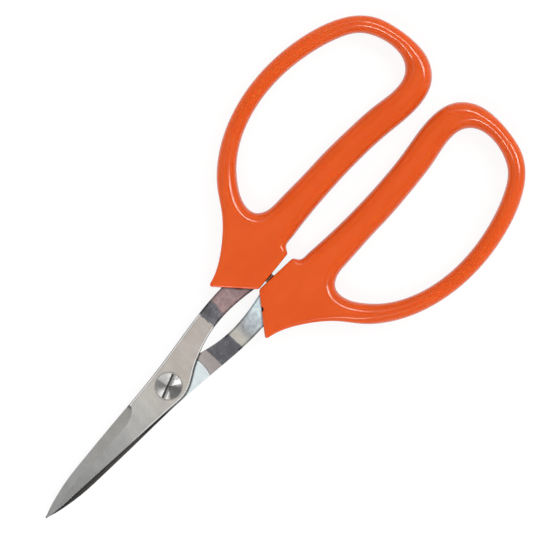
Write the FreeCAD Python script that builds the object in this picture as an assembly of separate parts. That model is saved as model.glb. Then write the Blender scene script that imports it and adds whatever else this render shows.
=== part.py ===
"""Floral snips: two stainless blades on one pivot screw, each with a long moulded finger loop.

Millimetres. The origin is on the pivot axis, in the plane where the two blades slide on each other.
+X points along the closed blades to their tips, +Y to the rear handle, +Z to the pivot screw's head.

The two halves are twins. Each shape is drawn once, for the front half, whose blade lies on top and whose
handle is on the -Y side. The rear half is the same shape turned half a turn about the X axis.
The snips are drawn closed, with the two closing stops meeting.
"""

import FreeCAD, Part

import math
import os

from FreeCAD import Vector

# ---------------------------------------------------------------- driving dimensions
BLADE_THICK = 2.0  # plate thickness, pivot boss and tang
TIP_THICK = 1.1  # left at the tip, because the outer face tapers
TAPER_FROM_X = 14.0  # the taper starts just ahead of the pivot boss
SLIDE_GAP = 0.02  # each blade's inner face stands this far off the slide plane
BEND_OUTER_X = (-23.5, -28.5)  # the tang bends over to the handle's mid plane, on its outer face
BEND_INNER_X = (-16.5, -25.0)  # and on its inner face
EDGE_BREAK = 0.25  # softens the outer face along the spine

BEVEL_WIDTH = 3.9  # ground bevel, measured square to the cutting edge
BEVEL_HEEL_X = (12.8, 20.5)  # the bevel's curved run-out, from nothing to full width
BEVEL_STATIONS_X = (22, 27, 33, 39, 45, 50, 54, 58)
EDGE_LAND = 0.3  # thickness left at the cutting edge
HOLLOW_RADIUS = 60.0  # hollow grind of the inner face
HOLLOW_DEPTHS = (0.11, 0.02)  # at its two ends
HOLLOW_X = (16.0, 54.0)
HOLLOW_Y = -0.3
RIDE_RADIUS = 12.9  # half-moon pad behind the pivot that the other blade rides on
RIDE_CENTRE = (0.5, -2.6)
RIDE_STEP = 0.15
RIDE_FRONT_X = -5.0  # ahead of this the inner face is level with the pad

HANDLE_HALF = 4.4  # half the handle's thickness
HANDLE_ROUND = 2.0  # rounding of all its long edges
NOSE_RADIUS, LAND_RADIUS, STEP_RADIUS = 0.7, 1.4, 1.0

STOP_X = (-48.6, -45.4)  # closing stop, a boss on the collar's inner side
STOP_HALF_HEIGHT = 1.6
STOP_ROOT_Y = -2.0
STOP_GAP = 0.04  # left between the two closed stops

SHANK_RADIUS = 2.5
RUNNING_CLEARANCE = 0.05
HEAD_RADIUS, HEAD_RIM, HEAD_DOME = 4.2, 0.75, 1.25
SLOT_WIDTH, SLOT_DEPTH, SLOT_ANGLE = 1.3, 1.15, 19.0
WASHER_RADIUS, WASHER_THICK, WASHER_RISE = 4.7, 0.35, 0.15
NUT_ACROSS_FLATS, NUT_HEIGHT, NUT_CHAMFER = 8.0, 1.8, 0.35
NUT_SIDES = 6

PIN_MARK_AT = (-38.0, -4.8)  # notch left by the pin that held the tang in the handle's mould
PIN_MARK_RADIUS = 0.8

# ---------------------------------------------------------------- outlines of the front half, as (x, y)
# Back of the tang and then the cutting edge, from the collar to the tip.
EDGE_SIDE = [(-34, -9.1), (-24, -8.75), (-10, -7.15), (5, -5.7), (20, -4.92), (35, -4.05), (44, -3.3),
             (50, -2.25), (54.5, -1.1), (57.2, -0.1)]
TIP = (57.4, 0.1)
# Spine, from the tip to the pivot boss, then over the boss and along the tang's inner side.
SPINE_FRONT = [(57.2, 0.3), (54, 0.85), (46, 1.65)]
TANG_INNER = [(5.5, 5.1), (1.8, 5.55), (-1.8, 5.5), (-5, 4.5), (-10, 1.75), (-15, -0.2), (-20, -1.6),
              (-28, -2.5), (-35, -2.1), (-41, -1.15)]
# The part of the tang that the handle is moulded round.
BURIED_INNER = [(-41, -1.15), (-43.5, -1.9), (-49, -4.3), (-56, -6.3), (-64, -7.1)]
TANG_END = [(-87, -7.1), (-89.7, -9.8), (-87, -12.5)]
BURIED_OUTER = [(-64, -12.3), (-48, -10.9), (-34, -9.1)]
LOCK_HOLES = [(-52, -8.2), (-68, -9.7), (-82, -9.8)]  # the handle's plastic flows through these
LOCK_HOLE_RADIUS = 1.4

NOSE = (-31.8, -12.4)
LAND_FRONT = (-42.1, -0.12)
LAND_BACK = (-56.6, -1.1)
LOOP_OUTSIDE = [(-58.2, -3.2), (-68, -4.25), (-80, -4.9), (-93, -4.9), (-106, -3.95), (-119.6, -2.7),
                (-127.8, -4.9), (-132.4, -10.6), (-133.6, -17.9), (-132.9, -25), (-130.9, -31.7),
                (-126.6, -37.2), (-120.8, -41.0), (-109.7, -44.9), (-93, -46.7), (-76.9, -44.2),
                (-67, -40.0), (-56.5, -31.4), (-52, -25.4), (-44, -18.1), (-37, -13.95), NOSE]
LOOP_INSIDE = [(-82.5, -14.5), (-100.6, -13.85), (-110, -12.9), (-119.6, -11.7), (-124, -12.8),
               (-126.6, -15.4), (-127.9, -20.8), (-126.8, -27), (-123.7, -32.4), (-118, -36.1),
               (-107.8, -39.5), (-93, -41.2), (-78.7, -39.0), (-70.3, -35.25), (-65.6, -31.8),
               (-61.4, -27.1), (-58.7, -21.8), (-59.0, -17.6), (-61.8, -15.4), (-67, -14.75)]

REACH = 150.0  # longer than the snips, for cutters and profiles that pass right through
CLEAR = 5.0  # well off either face of the blades, for cutters
TOUCH = 0.01  # points closer than this are one
UP = Vector(0, 0, 1)


# ---------------------------------------------------------------- drawing helpers
def at(point, z=0.0):
    return Vector(point[0], point[1], z)


def line(start, end):
    return Part.LineSegment(at(start), at(end)).toShape()


def arc(start, middle, end):
    return Part.Arc(at(start), at(middle), at(end)).toShape()


def curve(points, closed=False):
    """A smooth curve through the points."""
    spline = Part.BSplineCurve()
    spline.interpolate(Points=[at(point) for point in points], PeriodicFlag=closed)
    return spline.toShape()


def prism(edges, z_low, z_high):
    """The outline made by the edges, raised from z_low to z_high."""
    solid = Part.Face(Part.Wire(edges)).extrude(UP * (z_high - z_low))
    solid.translate(UP * z_low)
    return solid


def cylinder(radius, z_low, z_high, centre=(0.0, 0.0)):
    return Part.makeCylinder(radius, z_high - z_low, at(centre, z_low))


def block(x_range, y_range, z_range):
    low, high = zip(x_range, y_range, z_range)
    return Part.makeBox(*(b - a for a, b in zip(low, high)), Vector(*low))


def turned(profile):
    """The solid swept by a profile of (radius, z) points turned about the pivot axis."""
    points = [Vector(radius, 0, z) for radius, z in profile]
    return Part.Face(Part.makePolygon(points + points[:1])).revolve(Vector(), UP, 360)


def twin(front_shape):
    """The rear half's copy of a front-half shape."""
    rear = front_shape.copy()
    rear.rotate(Vector(), Vector(1, 0, 0), 180)
    return rear


def height_on(edge, x):
    """The y at which an outline edge passes this x."""
    low, high = edge.ParameterRange
    if edge.valueAt(low).x > edge.valueAt(high).x:
        low, high = high, low
    for _ in range(50):
        middle = (low + high) / 2
        if edge.valueAt(middle).x < x:
            low = middle
        else:
            high = middle
    return edge.valueAt(low).y


# ---------------------------------------------------------------- blade with its tang
def blade_outline():
    tang_start, tang_stop = TANG_END[0], TANG_END[2]
    return [
        curve(EDGE_SIDE),
        arc(EDGE_SIDE[-1], TIP, SPINE_FRONT[0]),
        curve(SPINE_FRONT),
        line(SPINE_FRONT[-1], TANG_INNER[0]),
        curve(TANG_INNER),
        curve(BURIED_INNER),
        line(BURIED_INNER[-1], tang_start),
        arc(*TANG_END),
        line(tang_stop, BURIED_OUTER[0]),
        curve(BURIED_OUTER),
    ]


def side_profile():
    """The blade seen from the side: flat and tapered ahead, bent over to the mid plane behind."""
    half = BLADE_THICK / 2
    tip_x, tang_x = TIP[0] + 1, -REACH
    points = [
        (tang_x, half), (BEND_OUTER_X[1], half), (BEND_OUTER_X[0], BLADE_THICK), (TAPER_FROM_X, BLADE_THICK),
        (tip_x, TIP_THICK), (tip_x, SLIDE_GAP), (BEND_INNER_X[0], SLIDE_GAP),
        (BEND_INNER_X[0], SLIDE_GAP + RIDE_STEP), (BEND_INNER_X[1], -half), (tang_x, -half),
    ]
    corners = [Vector(x, -REACH, z) for x, z in points]
    return Part.Face(Part.makePolygon(corners + corners[:1])).extrude(Vector(0, 2 * REACH, 0))


def bevel_cutter():
    """Everything above the ground bevel, as a loft of triangles set square to the cutting edge."""
    edge = curve(EDGE_SIDE)
    heel_start, heel_end = BEVEL_HEEL_X
    heel_length = heel_end - heel_start
    slope = (BLADE_THICK - EDGE_LAND) / BEVEL_WIDTH
    overhang = 2.0  # how far the cutter passes beyond the edge and above the face
    last_x, last_y = EDGE_SIDE[-1]
    near = 0.5  # the edge's direction is taken over this far each way

    def section(x, width):
        y = height_on(edge, x) if x < last_x else last_y
        inside_x = min(x, last_x - 2 * near)
        rise = height_on(edge, inside_x + near) - height_on(edge, inside_x - near)
        lean = math.atan2(rise, 2 * near)
        inward = Vector(-math.sin(lean), math.cos(lean), 0)
        top = Vector(x, y, BLADE_THICK)
        inner = top + inward * (width + overhang / slope) + UP * overhang
        outer_low = top - inward * overhang - UP * (width + overhang) * slope
        outer_high = top - inward * overhang + UP * overhang
        return Part.makePolygon([inner, outer_low, outer_high, inner])

    sections = []
    for step in (0.002, 0.08, 0.3, 0.6, 1.0):
        width = BEVEL_WIDTH * math.sqrt(1 - (1 - step) ** 2)
        sections.append(section(heel_start + step * heel_length, width))
    sections += [section(x, BEVEL_WIDTH) for x in BEVEL_STATIONS_X]
    return Part.makeLoft(sections, True)


def hollow_cutter():
    """A long cylinder lying just under the inner face, its axis sinking towards the tip."""
    start, end = (
        Vector(x, HOLLOW_Y, SLIDE_GAP + depth - HOLLOW_RADIUS) for x, depth in zip(HOLLOW_X, HOLLOW_DEPTHS)
    )
    return Part.makeCylinder(HOLLOW_RADIUS, (end - start).Length, start, end - start)


def ride_relief():
    """Between the half-moon pad and the bend, the inner face stands back from the pad."""
    behind = block((BEND_INNER_X[0], RIDE_FRONT_X), (-REACH, REACH), (-CLEAR, SLIDE_GAP + RIDE_STEP))
    return behind.cut(cylinder(RIDE_RADIUS, -CLEAR, CLEAR, RIDE_CENTRE))


def blade(bore_radius):
    plate = prism(blade_outline(), -CLEAR, CLEAR).common(side_profile())
    plate = plate.cut([bevel_cutter(), hollow_cutter(), ride_relief()])
    bores = [cylinder(bore_radius, -CLEAR, CLEAR)]
    bores += [cylinder(LOCK_HOLE_RADIUS, -CLEAR, CLEAR, centre) for centre in LOCK_HOLES]
    solid, = plate.cut(bores).removeSplitter().Solids

    face_edges = [edge for edge in solid.Edges if edge.BoundBox.ZMin > BLADE_THICK - TOUCH]
    rims = [edge for edge in face_edges if edge.BoundBox.XLength > 2 * HEAD_RADIUS - 1]
    return solid.makeFillet(EDGE_BREAK, rims)


# ---------------------------------------------------------------- moulded handle
def upright_edges(solid, corner):
    """The solid's edges that run straight up through this outline corner."""
    found = []
    for edge in solid.Edges:
        ends = [vertex.Point for vertex in edge.Vertexes]
        if all(math.hypot(end.x - corner[0], end.y - corner[1]) < TOUCH for end in ends):
            found.append(edge)
    return found


def handle(tang):
    """Collar and finger loop in one moulding, with the tang's space taken out."""
    outline = [curve(LOOP_OUTSIDE), line(NOSE, LAND_FRONT), line(LAND_FRONT, LAND_BACK),
               line(LAND_BACK, LOOP_OUTSIDE[0])]
    solid = prism(outline, -HANDLE_HALF, HANDLE_HALF)
    corners = ((NOSE, NOSE_RADIUS), (LAND_FRONT, LAND_RADIUS), (LAND_BACK, STEP_RADIUS))
    for corner, radius in corners:
        solid = solid.makeFillet(radius, upright_edges(solid, corner))
    solid = solid.cut(prism([curve(LOOP_INSIDE, closed=True)], -HANDLE_HALF, HANDLE_HALF))

    rims = [edge for edge in solid.Edges
            if all(abs(abs(vertex.Z) - HANDLE_HALF) < TOUCH for vertex in edge.Vertexes)
            and edge.BoundBox.ZLength < TOUCH]
    solid = solid.makeFillet(HANDLE_ROUND, rims)

    stop = block(STOP_X, (STOP_ROOT_Y, -STOP_GAP / 2), (-STOP_HALF_HEIGHT, STOP_HALF_HEIGHT))
    pin_mark = cylinder(PIN_MARK_RADIUS, -2 * HANDLE_HALF, 0, PIN_MARK_AT)
    return solid.fuse(stop).cut([pin_mark, tang]).removeSplitter()


# ---------------------------------------------------------------- pivot hardware
NUT_TOP_Z = -BLADE_THICK - WASHER_THICK - WASHER_RISE
NUT_LOW_Z = NUT_TOP_Z - NUT_HEIGHT


def pivot_screw():
    """Slotted dome-headed screw, with its head on the front blade and its end flush with the nut."""
    head_top = BLADE_THICK + HEAD_RIM + HEAD_DOME
    dome_radius = (HEAD_RADIUS ** 2 + HEAD_DOME ** 2) / (2 * HEAD_DOME)
    dome_centre = Vector(0, 0, head_top - dome_radius)
    head = cylinder(HEAD_RADIUS, BLADE_THICK, head_top)
    head = head.common(Part.makeSphere(dome_radius, dome_centre))
    screw = head.fuse(cylinder(SHANK_RADIUS, NUT_LOW_Z, BLADE_THICK + HEAD_RIM / 2))
    slot_width = (-SLOT_WIDTH / 2, SLOT_WIDTH / 2)
    slot = block((-REACH, REACH), slot_width, (head_top - SLOT_DEPTH, head_top + CLEAR))
    slot.rotate(Vector(), UP, SLOT_ANGLE)
    return screw.cut(slot).removeSplitter()


def spring_washer():
    """A dished washer: its outer rim bears on the rear blade and its inner rim on the nut."""
    inner = SHANK_RADIUS + RUNNING_CLEARANCE
    outer_z = -BLADE_THICK
    inner_z = outer_z - WASHER_RISE
    return turned([(inner, inner_z), (WASHER_RADIUS, outer_z), (WASHER_RADIUS, outer_z - WASHER_THICK),
                   (inner, inner_z - WASHER_THICK)])


def lock_nut():
    """A thin hexagon nut with its lower corners chamfered."""
    flat_radius = NUT_ACROSS_FLATS / 2
    corner_radius = flat_radius / math.cos(math.pi / NUT_SIDES)
    turns = [2 * math.pi * side / NUT_SIDES for side in range(NUT_SIDES)]
    corners = [(corner_radius * math.cos(turn), corner_radius * math.sin(turn)) for turn in turns]
    sides = [line(corners[side - 1], corners[side]) for side in range(NUT_SIDES)]
    rim_radius = corner_radius + NUT_CHAMFER
    taper = turned([(0, NUT_TOP_Z), (rim_radius, NUT_TOP_Z), (rim_radius, NUT_LOW_Z + 2 * NUT_CHAMFER),
                    (flat_radius, NUT_LOW_Z), (0, NUT_LOW_Z)])
    nut = prism(sides, NUT_LOW_Z, NUT_TOP_Z).common(taper)
    return nut.cut(cylinder(SHANK_RADIUS, NUT_LOW_Z, NUT_TOP_Z)).removeSplitter()


# ---------------------------------------------------------------- the assembly
def main():
    front_blade = blade(SHANK_RADIUS + RUNNING_CLEARANCE)
    front_handle = handle(front_blade)
    parts = {
        "front_blade": front_blade,
        "rear_blade": twin(blade(SHANK_RADIUS)),
        "front_handle": front_handle,
        "rear_handle": twin(front_handle),
        "pivot_screw": pivot_screw(),
        "spring_washer": spring_washer(),
        "lock_nut": lock_nut(),
    }
    os.makedirs("parts", exist_ok=True)
    for node, shape in parts.items():
        solid, = shape.Solids
        solid.exportStep(f"parts/{node}.step")
        print(f"{node}: {solid.Volume:.0f} mm3, valid {solid.isValid()}")


main()
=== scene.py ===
"""Floral snips: looks, floor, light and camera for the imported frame. Metres, in the frame's axes."""

import math

import bmesh
import bpy
import numpy as np
from mathutils import Matrix, Vector
from mathutils.geometry import delaunay_2d_cdt


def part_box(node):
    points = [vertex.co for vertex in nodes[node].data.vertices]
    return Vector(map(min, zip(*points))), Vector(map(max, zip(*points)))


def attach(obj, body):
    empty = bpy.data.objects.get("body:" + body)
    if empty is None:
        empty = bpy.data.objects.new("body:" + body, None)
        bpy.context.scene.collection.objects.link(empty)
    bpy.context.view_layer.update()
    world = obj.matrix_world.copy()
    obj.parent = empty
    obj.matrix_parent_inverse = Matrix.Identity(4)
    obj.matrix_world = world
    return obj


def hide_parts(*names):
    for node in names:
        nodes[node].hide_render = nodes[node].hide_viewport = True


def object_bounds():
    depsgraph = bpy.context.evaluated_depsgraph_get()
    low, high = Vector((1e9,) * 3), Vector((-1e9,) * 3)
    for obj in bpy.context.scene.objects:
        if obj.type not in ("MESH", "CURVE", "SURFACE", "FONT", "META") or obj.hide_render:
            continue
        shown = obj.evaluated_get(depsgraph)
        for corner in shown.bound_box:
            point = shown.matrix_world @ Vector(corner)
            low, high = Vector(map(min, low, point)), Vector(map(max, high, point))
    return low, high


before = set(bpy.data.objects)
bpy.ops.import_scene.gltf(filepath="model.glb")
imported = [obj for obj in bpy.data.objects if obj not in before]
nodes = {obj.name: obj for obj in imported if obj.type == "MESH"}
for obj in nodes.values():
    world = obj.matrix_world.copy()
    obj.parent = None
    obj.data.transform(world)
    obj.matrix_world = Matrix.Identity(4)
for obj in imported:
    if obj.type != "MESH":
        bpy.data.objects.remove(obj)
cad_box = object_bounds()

MM = 0.001
WHITE = (1.0, 1.0, 1.0)
NOISE_RANGE = (0.3, 0.7)  # most of a noise's values lie between these

scene = bpy.context.scene
box_low, box_high = Vector(cad_box[0]), Vector(cad_box[1])
overall = box_high - box_low
floor_z = box_low.z


# ---------------------------------------------------------------- shader helpers
class Nodes:
    """A node tree, with short calls that each add nodes and return the socket to link on."""

    SKY_SAMPLES, EDGE_SAMPLES = 12, 24

    def __init__(self, tree):
        self.tree = tree

    def add(self, kind, **settings):
        made = self.tree.nodes.new("ShaderNode" + kind)
        for key, value in settings.items():
            setattr(made, key, value)
        return made

    def feed(self, socket, value):
        if isinstance(value, bpy.types.NodeSocket):
            self.tree.links.new(value, socket)
        else:
            socket.default_value = value

    def coordinate(self, kind):
        """A texture coordinate's x, y and z."""
        split = self.add("SeparateXYZ")
        self.feed(split.inputs[0], self.add("TexCoord").outputs[kind])
        return split.outputs

    def place(self, scale=(1.0, 1.0, 1.0)):
        """The point being shaded in the frame's own axes, stretched by scale."""
        mapping = self.add("Mapping")
        mapping.inputs["Scale"].default_value = scale
        self.feed(mapping.inputs["Vector"], self.add("TexCoord").outputs["Object"])
        return mapping.outputs["Vector"]

    def noise(self, scale, stretch=(1.0, 1.0, 1.0), detail=3.0, roughness=0.5):
        """Noise between 0 and 1; scale is in features per metre."""
        made = self.add("TexNoise")
        self.feed(made.inputs["Vector"], self.place(stretch))
        self.feed(made.inputs["Scale"], scale)
        self.feed(made.inputs["Detail"], detail)
        self.feed(made.inputs["Roughness"], roughness)
        return made.outputs["Fac"]

    def math(self, operation, a, b=0.0):
        made = self.add("Math", operation=operation)
        self.feed(made.inputs[0], a)
        self.feed(made.inputs[1], b)
        return made.outputs[0]

    def total(self, first, *others):
        for other in others:
            first = self.math("ADD", first, other)
        return first

    def product(self, first, *others):
        for other in others:
            first = self.math("MULTIPLY", first, other)
        return first

    def length(self, x, y):
        return self.math("SQRT", self.total(self.product(x, x), self.product(y, y)))

    def reach(self, x, y, bearing):
        """How far (x, y) lies along a bearing, in degrees from +X to +Y."""
        turn = math.radians(bearing)
        return self.total(self.product(x, math.cos(turn)), self.product(y, math.sin(turn)))

    def span(self, value, low, high, to_low=0.0, to_high=1.0):
        """value from low..high mapped smoothly to to_low..to_high, and held beyond."""
        made = self.add("MapRange", interpolation_type="SMOOTHSTEP")
        for socket, number in zip(made.inputs, (value, low, high, to_low, to_high)):
            self.feed(socket, number)
        return made.outputs[0]

    def between(self, value, low, high, soft):
        """1 between low and high and 0 outside, with soft edges on both sides."""
        rising = self.span(value, low - soft, low + soft)
        return self.product(rising, self.span(value, high + soft, high - soft))

    def mix(self, amount, first, second):
        made = self.add("Mix", data_type="RGBA")
        self.feed(made.inputs["Factor"], amount)
        self.feed(made.inputs[6], rgba(first))
        self.feed(made.inputs[7], rgba(second))
        return made.outputs[2]

    def darken(self, colour, level):
        """The colour times the level."""
        made = self.add("Mix", data_type="RGBA", blend_type="MULTIPLY")
        made.inputs["Factor"].default_value = 1.0
        self.feed(made.inputs[6], rgba(colour))
        self.feed(made.inputs[7], level)
        return made.outputs[2]

    def openness(self, distance, closed, open_sky, darkest):
        """1 in the open, falling to darkest where other surfaces within this distance leave only the share
        closed of the sky."""
        made = self.add("AmbientOcclusion", samples=self.SKY_SAMPLES)
        made.inputs["Distance"].default_value = distance
        return self.span(made.outputs["AO"], closed, open_sky, darkest, 1.0)

    def from_edge(self, distance):
        """0.5 on an edge of the piece, rising to 1 this far in."""
        made = self.add("AmbientOcclusion", samples=self.EDGE_SAMPLES, inside=True, only_local=True)
        made.inputs["Distance"].default_value = distance
        return made.outputs["AO"]

    def bump(self, height, distance, strength):
        made = self.add("Bump")
        self.feed(made.inputs["Height"], height)
        self.feed(made.inputs["Distance"], distance)
        self.feed(made.inputs["Strength"], strength)
        return made.outputs[0]

    def tones(self, value, stops):
        """A ramp of steel tones given as screen colours."""
        return self.ramp(value, [(at, steel_tone(*tone)) for at, tone in stops])

    def ramp(self, value, stops):
        """A colour that changes evenly between (value, colour) stops."""
        first, last = stops[0][0], stops[-1][0]
        made = self.add("ValToRGB")
        made.color_ramp.interpolation = "LINEAR"
        self.feed(made.inputs[0], self.math("DIVIDE", self.math("SUBTRACT", value, first), last - first))
        elements = made.color_ramp.elements
        while len(elements) < len(stops):
            elements.new(0.5)
        for element, (at, colour) in zip(elements, stops):
            element.position = (at - first) / (last - first)
            element.color = rgba(colour)
        return made.outputs[0]


class Shader(Nodes):
    """A Principled material built from nodes."""

    def __init__(self, name):
        self.material = bpy.data.materials.new(name)
        self.material.use_nodes = True
        super().__init__(self.material.node_tree)
        self.surface = self.tree.nodes["Principled BSDF"]

    def finish(self, **inputs):
        """Feeds the surface's inputs, each named in lower case with underscores, and returns the material."""
        for name, value in inputs.items():
            label = name.replace("_", " ").title().replace("Ior", "IOR")
            self.feed(self.surface.inputs[label], rgba(value) if name == "base_color" else value)
        return self.material


def rgba(colour):
    if isinstance(colour, bpy.types.NodeSocket):
        return colour
    return (*colour, 1.0)


def srgb(red, green, blue):
    """The linear colour of an 8-bit screen colour."""
    def linear(level):
        level /= 255
        return level / 12.92 if level <= 0.04045 else ((level + 0.055) / 1.055) ** 2.4
    return tuple(linear(level) for level in (red, green, blue))


# ---------------------------------------------------------------- orange plastic
FLOW_TINTS = ((0.765, 0.103, 0.013), (0.735, 0.095, 0.01))  # the two ends of the moulding's faint flow marks
SPECK_TINT, SPECK_SHARE = (0.79, 0.12, 0.01), 0.2
WALL_FACING, WALL_SHADE = (0.05, 0.4), 0.65  # painted shade: share of the colour left on upright walls
# Painted shade in nooks: surfaces this near, leaving this much of the sky open, leave this share of the
# colour.
NOOK_REACH, NOOK_SKY, NOOK_SHADE = 3.5 * MM, (0.25, 0.7), 0.2
# Gloss, by how far the surface faces up: it is glossiest on the shoulders of the rounding, where it also
# faces one of the snips' two ends.
GLOSS_SIDE, GLOSS_SHOULDER, GLOSS_TOP = 0.2, 1.3, 0.3
SHOULDER_FROM, SHOULDER_TO = (0.86, 0.935), (0.965, 0.99)
GLOSS_OFF_END, FACING_END = 0.25, (0.08, 0.2)
FLOW_GRAIN, SPECK_GRAIN, SKIN_GRAIN = 90.0, 2600.0, 1500.0  # features per metre
FLOW_STRETCH = (1.0, 2.2, 1.0)  # the flow marks are longer along the snips than across
SPECK_SHOWS, SPECK_ROUGHENS = (0.62, 0.8), (0.4, 0.7)  # values of the noise over which the specks come in
FLOW_ROUGHNESS, SPECK_ROUGHNESS = (0.10, 0.14), 0.03
SKIN_HEIGHT, SKIN_STRENGTH = 0.012 * MM, 0.2
SCATTER_RADIUS, SCATTER_SHARE, SCATTER_SCALE = (1.0, 0.3, 0.12), 0.35, 1.5 * MM
PLASTIC_IOR = 1.42


def orange_plastic():
    """Semi-gloss moulded plastic, slightly translucent and faintly mottled, with a fine moulded skin, and
    painted shade on its upright walls and in nooks.
    """
    s = Shader("orange_plastic")
    flow = s.noise(FLOW_GRAIN, FLOW_STRETCH, detail=2.0)
    speck = s.noise(SPECK_GRAIN, detail=2.0)
    normal_x, _, normal_z = s.coordinate("Normal")
    facing_up, facing_ends = s.math("ABSOLUTE", normal_z), s.math("ABSOLUTE", normal_x)
    open_sky = s.openness(NOOK_REACH, *NOOK_SKY, NOOK_SHADE)

    tint = s.mix(s.span(flow, *NOISE_RANGE), *FLOW_TINTS)
    tint = s.mix(s.span(speck, *SPECK_SHOWS, 0.0, SPECK_SHARE), tint, SPECK_TINT)
    # painted shade: darker on upright walls and in nooks
    tint = s.darken(tint, s.span(facing_up, *WALL_FACING, WALL_SHADE, 1.0))
    tint = s.darken(tint, open_sky)

    rising = s.span(facing_up, *SHOULDER_FROM, GLOSS_SIDE, GLOSS_SHOULDER)
    falling = s.span(facing_up, *SHOULDER_TO, GLOSS_SHOULDER, GLOSS_TOP)
    gloss = s.math("MINIMUM", rising, falling)
    gloss = s.math("MINIMUM", gloss, s.span(facing_ends, *FACING_END, GLOSS_OFF_END, GLOSS_SHOULDER))
    gloss = s.product(gloss, open_sky)
    rough = s.total(s.span(flow, *NOISE_RANGE, *FLOW_ROUGHNESS),
                    s.span(speck, *SPECK_ROUGHENS, 0.0, SPECK_ROUGHNESS))
    skin = s.bump(s.noise(SKIN_GRAIN), SKIN_HEIGHT, SKIN_STRENGTH)
    s.surface.inputs["Subsurface Radius"].default_value = SCATTER_RADIUS
    return s.finish(base_color=tint, roughness=rough, normal=skin, ior=PLASTIC_IOR, specular_ior_level=gloss,
                    subsurface_weight=SCATTER_SHARE, subsurface_scale=SCATTER_SCALE)


# ---------------------------------------------------------------- blade steel
ZENITH = 0.82  # brightness of the light panel overhead, which the flat steel mirrors
STEEL_SHINE = 0.97  # share of that light that white steel sends back

# Screen colours along the blade, at x in millimetres, which hold painted reflection and shade as well as the
# finishes. The outer face is satin ground ahead of the bend and left as stamped behind it; its dark band over
# the bend is painted dark reflection and its dark tone by the collar is painted shadow. The inner face is
# lapped behind the pivot and hollow ground ahead of it, where its dark tone is painted dark reflection, as is
# its dark band over the bend.
OUTER_TONES = [
    (-41, (96, 84, 90)), (-38, (146, 122, 123)), (-34, (164, 138, 138)), (-29, (168, 142, 142)),
    (-28.4, (108, 107, 111)), (-23.6, (108, 107, 111)), (-23.4, (188, 179, 173)), (-10, (193, 185, 177)),
    (9, (191, 188, 182)), (14, (184, 183, 180)), (24, (170, 170, 168)), (44, (152, 152, 151)),
    (58, (130, 130, 130))]
INNER_TONES = [
    (-42, (222, 240, 248)), (-37, (211, 227, 235)), (-33, (182, 190, 194)), (-30, (160, 162, 163)),
    (-28.5, (172, 172, 168)), (-27.5, (192, 188, 180)), (-25.3, (192, 188, 180)), (-25, (130, 130, 135)),
    (-16.6, (130, 130, 135)), (-16.4, (163, 154, 152)), (-13, (168, 160, 158)), (3, (168, 160, 158)),
    (7, (84, 81, 81)), (58, (60, 56, 56))]
BEVEL_TONES = [(12, (157, 154, 151)), (22, (167, 165, 161)), (42, (166, 166, 165)), (58, (154, 154, 153))]
ZONE_WANDER = 0.7  # the zones' borders wander by this much to either side
FACES_INWARD, FACES_ASIDE = (0.0, -0.5), (0.2, 0.32)  # the normal's run from outer to inner face and to bevel

HOLLOW_REFLECTION_TONE, HOLLOW_FADE, HOLLOW_FROM_X = (150, 148, 145), (4.4, 1.6), (6.0, 10.0)  # painted reflection, lighter off its edge
HOLLOW_TAPER = 0.085  # the fade follows the blade as it narrows by this much a millimetre
RIDE_TONE = (217, 227, 229)
RIDE_CENTRE, RIDE_RADIUS = (0.5, 2.6), 12.9  # the half-moon the other blade rides on
RIDE_SOFT, RIDE_FRONT_X = 0.15, (7.0, 3.0)

EDGE_REACH = 1.0 * MM  # how far in the edges are told from the face, for the painted highlight and shade along them
EDGE_HIGHLIGHT_TONE, HIGHLIGHT_X = (226, 225, 223), (-24.0, 22.0)  # painted highlight along the outer face's rims, and where it runs
HIGHLIGHT_IN, HIGHLIGHT_OUT = 1.0, 8.0  # they come in over this length behind, and go out over this one ahead
HIGHLIGHT_RIM, RIM_LINE = (0.88, 0.8), (0.97, 0.92)  # closeness to the edge of the painted highlight and of the painted dark line beside it
TANG_RIM = (0.97, 0.75)
BROKEN_TILT = ((0.92, 0.8), (0.3, 0.5))  # broken corners face up less than the first and more than the second
# shares of the tone left by the painted dark line, the painted shade on the tang's rim and the painted shade
# on broken corners
LINE_SHADE, TANG_RIM_SHADE, BROKEN_SHADE = 0.78, 0.45, 0.35

BEND_X, BEND_SOFT = (-28.5, -16.5), 1.0  # the stamped bends lie between these, with ends this soft
TANG_X = (-28.0, -30.0)  # the tang's stain comes in between these
PIVOT_NOOK = ((4.8, 5.3), (17.0, 19.0))  # painted shade in nooks is darkest between these distances from the pivot
NEAR_SHADE, NOOK_DARKEST, FAR_SHADE, PIN_SHADE = 0.6, 0.05, 0.5, 0.02  # share of the tone left in each by the painted shade
PIN_MARK_AT, PIN_MARK_RADIUS = (-38.0 * MM, 4.8 * MM), 0.8 * MM  # notch in the collar, where the tang runs
PIN_SHADE_RADIUS = (0.9, 1.3)
NOOK_DISTANCE, STEEL_NOOK_SKY = 1.2 * MM, (0.6, 0.86)
# Each noise's features per metre, how much more there are along x, y and z, and the values it acts between.
GRIND_GRAIN, GRIND_STRETCH = 900.0, (9.0, 0.6, 1.0)
BORDER_GRAIN, BORDER_STRETCH, BORDER_RANGE = 300.0, (1.0, 0.6, 1.0), (0.25, 0.75)
SMUDGE_GRAIN, SMUDGE_STRETCH, SMUDGE_RANGE = 420.0, (1.0, 0.5, 1.0), (0.35, 0.7)
SCUFF_GRAIN, SCUFF_STRETCH, SCUFF_RANGE = 700.0, (1.0, 1.8, 1.0), (0.5, 0.75)
STAIN_GRAIN, STAIN_RANGE = 800.0, (0.35, 0.65)
CLOUD_GRAIN = 170.0
CLOUD_LEVELS, GRIND_LEVELS, STAIN_LEVELS, SCUFF_LIGHT = (0.93, 1.05), (-0.03, 0.03), (-0.13, 0.13), 0.5
SCUFFED_TONES = (0.42, 0.3)  # only the bend's steel darker than these is scuffed
SMUDGE_ROUGHNESS = (-0.03, 0.06)
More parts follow.
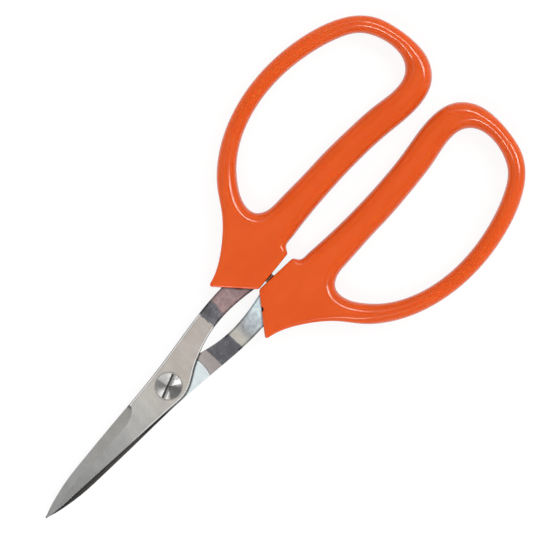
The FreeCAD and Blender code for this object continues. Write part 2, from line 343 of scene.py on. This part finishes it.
GRIND_HEIGHT, GRIND_STRENGTH = 0.008 * MM, 0.4
OUTER_ROUGH, INNER_ROUGH, BEVEL_ROUGHER = 0.24, 0.17, 0.30


def steel_tone(red, green, blue):
    """The steel colour that shows as this screen colour when it mirrors the light overhead."""
    return tuple(level / (STEEL_SHINE * ZENITH) for level in srgb(red, green, blue))


def ground_steel(name, outer_sign):
    """Stainless blade steel, with painted reflection, highlights and shade in its tint; outer_sign is +1
    where the outer face looks up and -1 where it looks down. Its x and y, and the places above that aren't
    multiplied by MM, are in millimetres."""
    s = Shader(name)
    x, y, _ = (s.math("DIVIDE", part, MM) for part in s.coordinate("Object"))
    _, normal_y, normal_z = s.coordinate("Normal")
    inner = s.span(s.product(normal_z, outer_sign), *FACES_INWARD)
    bevel = s.span(s.math("ABSOLUTE", normal_y), *FACES_ASIDE)
    grind = s.noise(GRIND_GRAIN, GRIND_STRETCH, roughness=0.6)

    border = s.noise(BORDER_GRAIN, BORDER_STRETCH)
    wander = s.span(border, *BORDER_RANGE, -ZONE_WANDER, ZONE_WANDER)
    uneven_x = s.total(x, wander)
    outer_tint = s.mix(bevel, s.tones(uneven_x, OUTER_TONES), s.tones(x, BEVEL_TONES))
    inner_tint = inner_face(s, s.tones(uneven_x, INNER_TONES), x, s.product(y, -outer_sign))
    tint = s.mix(inner, outer_tint, inner_tint)
    tint = edge_highlight_and_shade(s, tint, x, normal_z, s.math("MAXIMUM", inner, bevel))
    tint = s.darken(tint, steel_mottle(s, tint, x, grind))
    # painted shade in the nooks between the parts and in the pin's notch
    tint = s.darken(tint, s.openness(NOOK_DISTANCE, *STEEL_NOOK_SKY, nook_shade(s, x, y)))

    smudge = s.noise(SMUDGE_GRAIN, SMUDGE_STRETCH)
    rough = s.total(s.span(inner, 0.0, 1.0, OUTER_ROUGH, INNER_ROUGH),
                    s.span(smudge, *SMUDGE_RANGE, *SMUDGE_ROUGHNESS), s.product(bevel, BEVEL_ROUGHER))
    grain = s.bump(grind, GRIND_HEIGHT, GRIND_STRENGTH)
    return s.finish(base_color=tint, roughness=rough, normal=grain, metallic=1.0)


def inner_face(s, tint, x, towards_edge):
    """The inner face's tint with the painted dark reflection of the hollow grind fading off its edge, and the
    half-moon ride pad.
    """
    lapped = s.total(towards_edge, s.product(x, HOLLOW_TAPER))
    lighter_reflection = s.product(s.span(lapped, *HOLLOW_FADE), s.span(x, *HOLLOW_FROM_X))
    tint = s.mix(lighter_reflection, tint, steel_tone(*HOLLOW_REFLECTION_TONE))
    centre_x, centre_y = RIDE_CENTRE
    from_centre = s.length(s.math("SUBTRACT", x, centre_x), s.math("SUBTRACT", towards_edge, centre_y))
    ride = s.product(s.span(from_centre, RIDE_RADIUS, RIDE_RADIUS - RIDE_SOFT), s.span(x, *RIDE_FRONT_X))
    return s.mix(ride, tint, steel_tone(*RIDE_TONE))


def edge_highlight_and_shade(s, tint, x, normal_z, not_outer):
    """Adds painted light along the edges: a painted highlight on the outer face's rim with a painted dark
    line beside it, and painted shade on the tang's rim and on the broken corners.
    """
    back, front = HIGHLIGHT_X
    from_edge = s.from_edge(EDGE_REACH)
    highlit = s.product(s.span(x, back, back + HIGHLIGHT_IN), s.span(x, front, front - HIGHLIGHT_OUT),
                       s.math("SUBTRACT", 1.0, not_outer))
    line = s.product(highlit, s.span(from_edge, *RIM_LINE))
    tint = s.darken(tint, s.span(line, 0.0, 1.0, 1.0, LINE_SHADE))
    edge_highlight = s.product(highlit, s.span(from_edge, *HIGHLIGHT_RIM))
    tint = s.mix(edge_highlight, tint, steel_tone(*EDGE_HIGHLIGHT_TONE))
    rim_shade = s.product(s.span(x, back + HIGHLIGHT_IN, back), s.span(from_edge, *TANG_RIM))
    tint = s.darken(tint, s.span(rim_shade, 0.0, 1.0, 1.0, TANG_RIM_SHADE))
    facing_up = s.math("ABSOLUTE", normal_z)
    broken = s.product(*(s.span(facing_up, *tilt) for tilt in BROKEN_TILT))
    return s.darken(tint, s.span(broken, 0.0, 1.0, 1.0, BROKEN_SHADE))


def steel_mottle(s, tint, x, grind):
    """How much lighter or darker the steel is from place to place: clouds, scuffed bend and stained tang."""
    back, front = BEND_X
    cloud = s.span(s.noise(CLOUD_GRAIN, detail=4.0, roughness=0.6), *NOISE_RANGE, *CLOUD_LEVELS)
    on_bend = s.product(s.span(x, front + BEND_SOFT, front), s.span(x, back, back + BEND_SOFT),
                        s.span(tint, *SCUFFED_TONES))
    scuffs = s.span(s.noise(SCUFF_GRAIN, SCUFF_STRETCH, detail=4.0), *SCUFF_RANGE, 0.0, SCUFF_LIGHT)
    stain = s.span(s.noise(STAIN_GRAIN, detail=5.0), *STAIN_RANGE, *STAIN_LEVELS)
    return s.total(cloud, s.span(grind, *NOISE_RANGE, *GRIND_LEVELS), s.product(on_bend, scuffs),
                   s.product(stain, s.span(x, *TANG_X)))


def nook_shade(s, x, y):
    """Painted shade in the steel's nooks, as the share of the tone left there: least in a wide ring round the
    pivot and in the pin's notch."""
    near, far = PIVOT_NOOK
    from_pivot = s.length(x, y)
    shade = s.math("MAXIMUM", s.span(from_pivot, *near, NEAR_SHADE, NOOK_DARKEST),
                   s.span(from_pivot, *far, NOOK_DARKEST, FAR_SHADE))
    pin_x, pin_y = (part / MM for part in PIN_MARK_AT)
    from_pin = s.length(s.math("SUBTRACT", x, pin_x), s.math("SUBTRACT", s.math("ABSOLUTE", y), pin_y))
    return s.math("MINIMUM", shade, s.span(from_pin, *PIN_SHADE_RADIUS, PIN_SHADE, 1.0))


# ---------------------------------------------------------------- turned steel of the screw, washer and nut
SCREW_TONE, NUT_TONE, WASHER_TONE = (205, 204, 202), (205, 205, 204), (150, 150, 152)
SCREW_REFLECTION_SECTORS = ((97.0, 58.0, 0.45), (315.0, 40.0, 0.75), (246.0, 40.0, 1.5))  # painted reflection on the turned head, in wedges: bearing, half width, share
RING_PITCH, RING_HEIGHT, RING_STRENGTH = 0.2 * MM, 0.006 * MM, 0.3
TURNED_GRAIN, CLOUD_SHADE = 400.0, 0.86
TURNED_ROUGHNESS = (0.32, 0.38)
STREAK, STREAK_TURN = 0.9, 0.25  # strength of the streaks of light, and a quarter turn from the rings
SLOT_BEARING, SLOT_FLOOR, SLOT_HALF = 19.0, 2.85 * MM, 0.65 * MM
SLOT_SOFT, FLOOR_NEAR, FLOOR_FAR = 0.03 * MM, 0.05 * MM, 0.1 * MM  # the slot's floor is told by its height
# painted shade on the slot's floor
SLOT_SHADE_TONE = (0.03, 0.03, 0.03)
SLOT_FADE, SLOT_DARKNESS = (-0.05 * MM, 0.15 * MM), (0.94, 0.5)  # painted shadow: the slot is darker along one side


def turned_steel(name, tone, reflection_sectors=()):
    """Bright steel turned on a lathe, with fine rings round the pivot axis; a screw slot's floor gets painted
    shade. Each of the reflection_sectors is a wedge of painted reflection: a bearing, a half width and the
    share of the tone left there."""
    s = Shader(name)
    x, y, z = s.coordinate("Object")
    radius = s.length(x, y)
    cloud = s.noise(TURNED_GRAIN)
    tint = s.mix(s.span(cloud, *NOISE_RANGE), tone, tuple(CLOUD_SHADE * level for level in tone))
    for bearing, half_width, level in reflection_sectors:
        edge = math.cos(math.radians(half_width))
        ahead = s.math("DIVIDE", s.reach(x, y, bearing), radius)
        tint = s.darken(tint, s.span(ahead, edge, (1 + edge) / 2, 1.0, level))

    across = s.reach(x, y, SLOT_BEARING + 90)
    in_slot = s.product(s.span(z, SLOT_FLOOR + FLOOR_FAR, SLOT_FLOOR + FLOOR_NEAR),
                        s.span(s.math("ABSOLUTE", across), SLOT_HALF + SLOT_SOFT, SLOT_HALF - SLOT_SOFT),
                        s.span(z, SLOT_FLOOR - FLOOR_FAR, SLOT_FLOOR - FLOOR_NEAR))
    shaded = s.span(across, *SLOT_FADE, *SLOT_DARKNESS)
    tint = s.mix(s.product(in_slot, shaded), tint, SLOT_SHADE_TONE)

    rings = s.math("SINE", s.product(radius, 2 * math.pi / RING_PITCH))
    grooves = s.bump(rings, RING_HEIGHT, RING_STRENGTH)
    tangent = s.add("Tangent", direction_type="RADIAL", axis="Z").outputs[0]
    return s.finish(base_color=tint, roughness=s.span(cloud, *NOISE_RANGE, *TURNED_ROUGHNESS), normal=grooves,
                    metallic=1.0, anisotropic=STREAK, anisotropic_rotation=STREAK_TURN, tangent=tangent)


def paint(node, material):
    mesh = nodes[node].data
    mesh.materials.clear()
    mesh.materials.append(material)


# ---------------------------------------------------------------- moulded handles
CAD_ROUND = 2.0 * MM  # rounding on the CAD handle's rims; its walls end this far below its faces
SAMPLE_STEP = 0.35 * MM  # spacing of the points along the outline
GRID_STEP = 0.5 * MM  # spacing of the points inside it
RIM_ROWS = 7  # rows of points that follow the rim across its rounding
GRID_FROM = 1.1  # the evenly spaced points start this far in, in widths of the rounding
LOOP_ROUND = 3.4 * MM  # rim rounding round the finger loop, where the arm is wide enough
COLLAR_ROUND = 1.2 * MM  # along the collar's outer side
CRISP_ROUND = 0.4 * MM  # and along the collar's front and the stop's land
CRISP_FACING = 0.6  # the crisp rims face forward, or towards the other handle, by at least this much
LOOP_DEPTH = 1.2  # the rounding's depth over its width; a collar's rounding is circular
ROUND_BLEND = 6  # outline points on each side over which one rounding runs into the next
CROWN, CROWN_REACH = 0.25 * MM, 5.0 * MM
LOOP_FROM_X, COLLAR_FROM_X = -64 * MM, -50 * MM  # the rim's rounding changes between these
LAND_BACK_X = -58 * MM
COLLAR_CORNER_Y = 12.9 * MM  # the collar's crisp front ends here
PARTING_RIDGE, PARTING_HALF = 0.06 * MM, 0.16 * MM
STOP_DEEP, STOP_BREAK = 2.5 * MM, 0.1 * MM  # how deep the stop's block goes in, and its broken edges
TANG_FACE = 1.0 * MM  # height of the tang's face above the mid plane

SAME_HEIGHT = 0.002 * MM  # CAD points this close to a height lie on it
WELL_SPACED = 0.05 * MM  # outline points closer than this are taken as one
JUST_INSIDE = 0.001 * MM  # a step off the outline that is safely in the material
CURVE_STEPS = 24  # points between two outline points, before they are spaced evenly
BATCH = 1000  # points measured at once
ROW_KEPT = 0.97  # a rim row's point stays if it is really this share of its depth inside the nearer wall
RIM_SPACING, GRID_SPACING = 0.3 * SAMPLE_STEP, 0.5 * GRID_STEP  # least spacing of the points of each kind
NEAR_MIDDLE = 0.1 * MM  # only the closing stop's face comes this close to the middle plane
KEY_DIGITS = 3  # outline points are matched to this many digits of a millimetre
ALL_TRIANGLES, SAME_POINT = 0, 1e-6  # the triangulation keeps all, and joins points this many mm apart
BREAK_STEPS, NOTCH_SIDES = 2, 24


def outline_loops(node, side):
    """The handle's outline and its finger hole, read from the CAD node as closed rings of (x, y).
    They are read on the side of the mid plane that has no pin mark."""
    wall_end = -side * (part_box(node)[1][2] - CAD_ROUND)
    mesh = nodes[node].data
    key = {}
    for vertex in mesh.vertices:
        if abs(vertex.co.z - wall_end) < SAME_HEIGHT:
            key[vertex.index] = tuple(round(part / MM, KEY_DIGITS) for part in vertex.co.xy)
    beside = {}
    for edge in mesh.edges:
        first, second = (key.get(index) for index in edge.vertices)
        if first and second and first != second:
            beside.setdefault(first, set()).add(second)
            beside.setdefault(second, set()).add(first)
    loops = []
    while beside:
        here = max(beside)
        loop = [here]
        while True:
            onward = [point for point in beside.pop(here) if point in beside]
            if not onward:
                break
            here = onward[0]
            loop.append(here)
        loops.append(np.array(loop) * MM)
    return loops


def smooth_ring(points):
    """The ring resampled evenly along a centripetal Catmull-Rom curve through its well spaced points."""
    spaced = [points[-1]]
    for point in points[:-1]:
        if math.dist(point, spaced[-1]) > WELL_SPACED:
            spaced.append(point)
    points = np.array(spaced)
    before, after, beyond = np.roll(points, 1, 0), np.roll(points, -1, 0), np.roll(points, -2, 0)

    def gap(a, b):
        return np.sqrt(np.linalg.norm(b - a, axis=1))[:, None]

    t1 = gap(before, points)
    t2 = t1 + gap(points, after)
    t3 = t2 + gap(after, beyond)
    dense = []
    for share in np.linspace(0, 1, CURVE_STEPS, endpoint=False):
        t = t1 + share * (t2 - t1)
        a1 = (t1 - t) / t1 * before + t / t1 * points
        a2 = (t2 - t) / (t2 - t1) * points + (t - t1) / (t2 - t1) * after
        a3 = (t3 - t) / (t3 - t2) * after + (t - t2) / (t3 - t2) * beyond
        b1 = (t2 - t) / t2 * a1 + t / t2 * a2
        b2 = (t3 - t) / (t3 - t1) * a2 + (t - t1) / (t3 - t1) * a3
        dense.append((t2 - t) / (t2 - t1) * b1 + (t - t1) / (t2 - t1) * b2)
    dense = np.stack(dense, 1).reshape(-1, 2)
    closed = np.vstack([dense, dense[:1]])
    along = np.concatenate([[0], np.cumsum(np.linalg.norm(np.diff(closed, axis=0), axis=1))])
    count = int(along[-1] / SAMPLE_STEP)
    wanted = np.linspace(0, along[-1], count, endpoint=False)
    return np.column_stack([np.interp(wanted, along, closed[:, index]) for index in (0, 1)])


def outward_normals(ring, turn):
    """Unit normals that point out of the material; turn is 1 for the outline and -1 for a hole."""
    run = np.roll(ring, -1, 0) - np.roll(ring, 1, 0)
    normal = np.column_stack([run[:, 1], -run[:, 0]])
    normal /= np.linalg.norm(normal, axis=1)[:, None]
    area = np.sum(ring[:, 0] * np.roll(ring[:, 1], -1) - np.roll(ring[:, 0], -1) * ring[:, 1])
    return normal * np.sign(area) * turn


def inside(points, rings):
    """Which points lie in the material, by counting outline crossings to their right."""
    crossings = np.zeros(len(points), int)
    for ring in rings:
        for (x1, y1), (x2, y2) in zip(ring, np.roll(ring, -1, 0)):
            spans = (y1 > points[:, 1]) != (y2 > points[:, 1])
            if spans.any():
                x = x1 + (points[:, 1] - y1) * (x2 - x1) / (y2 - y1)
                crossings += spans & (points[:, 0] < x)
    return crossings % 2 == 1


def nearest(points, ring):
    """Each point's distance to the closed ring, and which of the ring's points starts the nearest segment."""
    distance, index = np.empty(len(points)), np.empty(len(points), int)
    along = np.roll(ring, -1, 0) - ring
    length = (along ** 2).sum(1)
    for first in range(0, len(points), BATCH):
        gap = points[first:first + BATCH, None] - ring[None]
        share = np.clip((gap * along).sum(2) / length, 0, 1)
        gaps = ((gap - share[:, :, None] * along) ** 2).sum(2)
        index[first:first + BATCH] = gaps.argmin(1)
        distance[first:first + BATCH] = np.sqrt(gaps.min(1))
    return distance, index


def thinned(points, kept, spacing):
    """The points that stay at least this far from each other and from those already kept."""
    cells = {}

    def cell(point):
        return int(point[0] // spacing), int(point[1] // spacing)

    def neighbours(column, row):
        for i in (-1, 0, 1):
            for j in (-1, 0, 1):
                yield from cells.get((column + i, row + j), ())

    for point in kept:
        cells.setdefault(cell(point), []).append(point)
    chosen = []
    for point in points:
        if all(math.dist(point, other) >= spacing for other in neighbours(*cell(point))):
            cells.setdefault(cell(point), []).append(point)
            chosen.append(point)
    return chosen


def smoothed(values):
    """A ring of values averaged with its neighbours on each side."""
    shifts = range(-ROUND_BLEND, ROUND_BLEND + 1)
    return sum(np.roll(values, shift) for shift in shifts) / len(shifts)


class Moulding:
    """A handle's outline and its softly crowned cross-section; side is +1 for the rear handle and -1 for the
    front one."""

    def __init__(self, node, side):
        self.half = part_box(node)[1][2]
        self.rings = [smooth_ring(loop) for loop in outline_loops(node, side)]
        self.rings.sort(key=len, reverse=True)
        self.outside, self.hole = self.rings
        self.border = np.vstack(self.rings)
        normals = [outward_normals(self.outside, 1), outward_normals(self.hole, -1)]
        self.outward = np.vstack(normals)
        self.edges = self.ring_edges()

        x, y = self.outside.T
        outward_x, outward_y = normals[0].T
        collar = np.clip((x - LOOP_FROM_X) / (COLLAR_FROM_X - LOOP_FROM_X), 0, 1)
        crisp = (x > LAND_BACK_X) & (np.abs(y) < COLLAR_CORNER_Y)
        crisp &= (outward_x > CRISP_FACING) | (outward_y * side < -CRISP_FACING)
        width = np.where(crisp, CRISP_ROUND, LOOP_ROUND + (COLLAR_ROUND - LOOP_ROUND) * collar)
        depth = np.where(crisp, 1.0, LOOP_DEPTH + (1.0 - LOOP_DEPTH) * collar)
        self.outside_round, self.outside_depth = smoothed(width), smoothed(depth)

    def ring_edges(self):
        """Pairs of border points that are joined along the outline and round the hole."""
        edges, start = [], 0
        for ring in self.rings:
            edges += [(start + i, start + (i + 1) % len(ring)) for i in range(len(ring))]
            start += len(ring)
        return edges

    def cross_section(self, points):
        """For each point its depth inside the nearer wall, the rounding's width there, and its height."""
        to_outside, index = nearest(points, self.outside)
        to_hole, _ = nearest(points, self.hole)
        depth, half_width = np.minimum(to_outside, to_hole), (to_outside + to_hole) / 2
        by_outside = to_outside < to_hole
        round_width = np.minimum(np.where(by_outside, self.outside_round[index], LOOP_ROUND), half_width)
        round_depth = round_width * np.where(by_outside, self.outside_depth[index], LOOP_DEPTH)
        top = self.half - CROWN * (1 - np.minimum(depth / np.minimum(CROWN_REACH, half_width), 1)) ** 2
        wall = self.half - CROWN - round_depth
        share = np.minimum(depth / round_width, 1)
        return depth, round_width, wall + (top - wall) * np.sqrt(1 - (1 - share) ** 2)

    def inner_points(self):
        """Points off the border: rows that follow the rim across its rounding, then an even grid."""
        _, rim, _ = self.cross_section(self.border - self.outward * JUST_INSIDE)
        rim_points = []
        for step in range(1, RIM_ROWS + 1):
            depth = rim * (1 - math.cos(math.pi / 2 * step / RIM_ROWS))
            row = self.border - self.outward * depth[:, None]
            true_depth, *_ = self.cross_section(row)
            rim_points += list(row[true_depth > ROW_KEPT * depth])
        low, high = self.border.min(0), self.border.max(0)
        columns = np.arange(low[0], high[0], GRID_STEP)
        rows = np.arange(low[1], high[1], GRID_STEP)
        every_other = GRID_STEP / 2
        grid = np.array([(x + index % 2 * every_other, y) for index, y in enumerate(rows) for x in columns])
        grid = grid[inside(grid, self.rings)]
        depth, round_width, _ = self.cross_section(grid)
        chosen = thinned(rim_points, self.border, RIM_SPACING)
        return chosen + thinned(grid[depth > GRID_FROM * round_width], chosen, GRID_SPACING)

    def surface(self):
        """The upper surface's points, with the border's first, their heights, and the triangles on them."""
        flat = np.vstack([self.border, self.inner_points()])
        corners = [Vector(point) for point in flat / MM]
        found = delaunay_2d_cdt(corners, self.edges, [], ALL_TRIANGLES, SAME_POINT)
        points, triangles = np.array(found[0]) * MM, np.array(found[2])
        triangles = triangles[inside(points[triangles].mean(1), self.rings)]
        assert len(points) == len(flat)
        *_, height = self.cross_section(points)
        height[:len(self.border)] = self.cross_section(self.border - self.outward * JUST_INSIDE)[2]
        return points, height, triangles

    def mesh(self, name):
        """Both surfaces and the wall between them, with its parting line."""
        points, height, triangles = self.surface()
        shape = bmesh.new()
        tops = [shape.verts.new((x, y, z)) for (x, y), z in zip(points, height)]
        lows = [shape.verts.new((x, y, -z)) for (x, y), z in zip(points, height)]
        for a, b, c in triangles:
            shape.faces.new((tops[a], tops[b], tops[c]))
            shape.faces.new((lows[c], lows[b], lows[a]))
        rows = [tops]
        for z, proud in ((PARTING_HALF, 0.0), (0.0, PARTING_RIDGE), (-PARTING_HALF, 0.0)):
            moved = self.border + self.outward * proud
            rows.append([shape.verts.new((x, y, z)) for x, y in moved])
        rows.append(lows)
        for upper, lower in zip(rows, rows[1:]):
            for a, b in self.edges:
                shape.faces.new((upper[a], lower[a], lower[b], upper[b]))
        bmesh.ops.recalc_face_normals(shape, faces=shape.faces)
        for face in shape.faces:
            face.smooth = True
        return as_object(shape, name)


def build_handle(node, name, body, side):
    """The moulding that stands in for a CAD handle, with its closing stop and pin mark."""
    moulding = Moulding(node, side)
    piece = moulding.mesh(name)
    carve(piece, stop_boss(node, side), "UNION")
    carve(piece, pin_mark(moulding.half, side), "DIFFERENCE")
    piece.data.materials.append(plastic)
    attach(piece, body)
    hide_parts(node)


def stop_boss(node, side):
    """A block with broken edges where the CAD handle's closing stop is."""
    corners = [v.co for v in nodes[node].data.vertices if abs(v.co.y) < NEAR_MIDDLE]
    low_x, high_x = min(c.x for c in corners), max(c.x for c in corners)
    tall = max(c.z for c in corners) - min(c.z for c in corners)
    middle = ((low_x + high_x) / 2, corners[0].y + side * STOP_DEEP / 2, 0)
    block = bmesh.new()
    bmesh.ops.create_cube(block, size=1.0)
    bmesh.ops.scale(block, vec=(high_x - low_x, STOP_DEEP, tall), verts=block.verts)
    bmesh.ops.translate(block, vec=middle, verts=block.verts)
    bmesh.ops.bevel(block, geom=block.edges[:], offset=STOP_BREAK, segments=BREAK_STEPS, affect="EDGES")
    return as_object(block, "stop_tool")


def pin_mark(half, side):
    """A cutter for the small notch that ends at the tang's face, in the rear handle's top or the front one's
    underside."""
    x, y = PIN_MARK_AT
    notch = bmesh.new()
    bmesh.ops.create_cone(notch, cap_ends=True, segments=NOTCH_SIDES, radius1=PIN_MARK_RADIUS,
                          radius2=PIN_MARK_RADIUS, depth=half)
    bmesh.ops.translate(notch, vec=(x, side * y, side * (TANG_FACE + half / 2)), verts=notch.verts)
    return as_object(notch, "notch_tool")


def as_object(shape, name):
    mesh = bpy.data.meshes.new(name)
    shape.to_mesh(mesh)
    shape.free()
    made = bpy.data.objects.new(name, mesh)
    scene.collection.objects.link(made)
    return made


def carve(piece, cutter, operation):
    """Joins the cutter to the piece, or cuts it out, and removes the cutter."""
    change = piece.modifiers.new("carve", "BOOLEAN")
    change.operation = operation
    change.object = cutter
    change.solver = "EXACT"
    bpy.context.view_layer.objects.active = piece
    with bpy.context.temp_override(object=piece, active_object=piece, selected_objects=[piece]):
        bpy.ops.object.modifier_apply(modifier=change.name)
    bpy.data.objects.remove(cutter)


# ---------------------------------------------------------------- floor
FLOOR_SIDE = 12 * overall.x
FLOOR_GAP = 0.02 * MM  # keeps the floor from showing through the undersides
PAPER_TINTS, PAPER_GRAIN = ((0.13, 0.13, 0.13), (0.15, 0.15, 0.15)), 900.0
PAPER_ROUGHNESS = 0.9
PAPER_GLOW = 0.87  # the floor's own light, which keeps it white


def build_floor():
    bpy.ops.mesh.primitive_plane_add(size=FLOOR_SIDE, location=(0, 0, floor_z - FLOOR_GAP))
    floor = bpy.context.object
    floor.name = "floor"
    s = Shader("floor_paper")
    tint = s.mix(s.span(s.noise(PAPER_GRAIN, detail=4.0), *NOISE_RANGE), *PAPER_TINTS)
    floor.data.materials.append(s.finish(base_color=tint, roughness=PAPER_ROUGHNESS,
                                         emission_color=rgba(WHITE), emission_strength=PAPER_GLOW))


# ---------------------------------------------------------------- light
# Studio brightness by direction. Angles are degrees from straight up, and bearings degrees from +X to +Y.
PANEL_EDGE, PANEL_SOFT = 13.0, 5.0  # the panel straight overhead, ZENITH bright
WALL_EDGE, WALL_SOFT = 34.0, 8.0  # round it the walls, dimmer between the panel and this edge
RING_SHARE = 0.6  # their brightness there, over their full brightness
WALL_LEVELS, WALL_BEARING = (0.38, 0.68), 48.0  # brightest along this bearing and dark across it
LOW_EDGE, LOW_LEVEL = 68.0, 0.92  # their feet, from this angle down
STRIP_ANGLES, STRIP_SOFT = (35.5, 40.5), 0.8
STRIPS = ((10.0, 38.0, 12.0), (177.0, 41.0, 12.0))  # each strip light's bearing, half width and brightness
FILL_ANGLES, FILL_SOFT = (46.0, 56.0), 3.0
FILL = (150.0, 13.0, 9.0)  # a soft fill light, given the same way
END_SOFT = 0.04  # softness of the lights' ends, as a cosine
LEAST_RUN = 0.001  # keeps bearings defined straight up


def build_light():
    """A soft studio all round: a panel overhead, walls that are brighter at two ends, and strip lights."""
    world = bpy.data.worlds.new("studio")
    world.use_nodes = True
    scene.world = world
    n = Nodes(world.node_tree)
    x, y, z = n.coordinate("Generated")
    tilt = n.math("DEGREES", n.math("ARCCOSINE", z))
    level_run = n.math("MAXIMUM", n.length(x, y), LEAST_RUN)

    def towards(bearing):
        """The cosine of the angle between this bearing and the direction looked in."""
        return n.math("DIVIDE", n.reach(x, y, bearing), level_run)

    def light(angles, soft, bearing, half_width, brightness):
        edge = math.cos(math.radians(half_width))
        across = n.span(towards(bearing), edge - END_SOFT, (3 * edge + 1) / 4 + END_SOFT)
        return n.product(n.between(tilt, *angles, soft), across, brightness)

    panel = n.product(n.span(tilt, PANEL_EDGE + PANEL_SOFT, PANEL_EDGE - PANEL_SOFT), ZENITH)
    dark, bright = WALL_LEVELS
    along = towards(WALL_BEARING)
    wall = n.total(n.product(along, along, bright - dark), dark)
    wall = n.product(wall, n.span(tilt, WALL_EDGE - WALL_SOFT, WALL_EDGE + WALL_SOFT, RING_SHARE, 1.0),
                     n.between(tilt, PANEL_EDGE, LOW_EDGE, PANEL_SOFT))
    feet = n.product(n.span(tilt, LOW_EDGE - PANEL_SOFT, LOW_EDGE + PANEL_SOFT), LOW_LEVEL)
    strips = [light(STRIP_ANGLES, STRIP_SOFT, *strip) for strip in STRIPS]
    level = n.total(panel, wall, feet, *strips, light(FILL_ANGLES, FILL_SOFT, *FILL))
    backdrop = world.node_tree.nodes["Background"]
    n.feed(backdrop.inputs["Color"], rgba(WHITE))
    n.feed(backdrop.inputs["Strength"], level)


# ---------------------------------------------------------------- camera
CAMERA_ROLL = 46.99  # degrees, which points the tips to the lower left of the picture
AIM_BACK, AIM_Y = 0.0571 * overall.x, -0.75 * MM  # the aim lies this far behind the middle of the snips
FRAME_SIDE = 0.9073 * overall.x  # side of the square that the picture takes in
CAMERA_DISTANCE, SENSOR_WIDTH = 1.6, 36.0


def build_camera():
    """Straight down, from far enough off that nothing looks tapered."""
    roll = math.radians(CAMERA_ROLL)
    right = Vector((-math.cos(roll), math.sin(roll), 0))
    up = Vector((-math.sin(roll), -math.cos(roll), 0))
    back = right.cross(up)
    aim = Vector(((box_low.x + box_high.x) / 2 - AIM_BACK, AIM_Y, 0))
    data = bpy.data.cameras.new("camera")
    data.sensor_width = SENSOR_WIDTH
    data.lens = SENSOR_WIDTH * CAMERA_DISTANCE / FRAME_SIDE
    camera = bpy.data.objects.new("camera", data)
    scene.collection.objects.link(camera)
    facing = Matrix((right, up, back)).transposed().to_4x4()
    camera.matrix_world = Matrix.Translation(aim + back * CAMERA_DISTANCE) @ facing
    scene.camera = camera


# ---------------------------------------------------------------- put together
plastic = orange_plastic()
build_handle("front_handle", "front_handle_moulding", "front_half", -1)
build_handle("rear_handle", "rear_handle_moulding", "rear_half", 1)
paint("front_blade", ground_steel("front_blade_steel", 1.0))
paint("rear_blade", ground_steel("rear_blade_steel", -1.0))
paint("pivot_screw", turned_steel("screw_steel", srgb(*SCREW_TONE), SCREW_REFLECTION_SECTORS))
paint("lock_nut", turned_steel("nut_steel", srgb(*NUT_TONE)))
paint("spring_washer", turned_steel("washer_steel", srgb(*WASHER_TONE)))

build_floor()
build_light()
build_camera()
scene.view_settings.view_transform = "Standard"
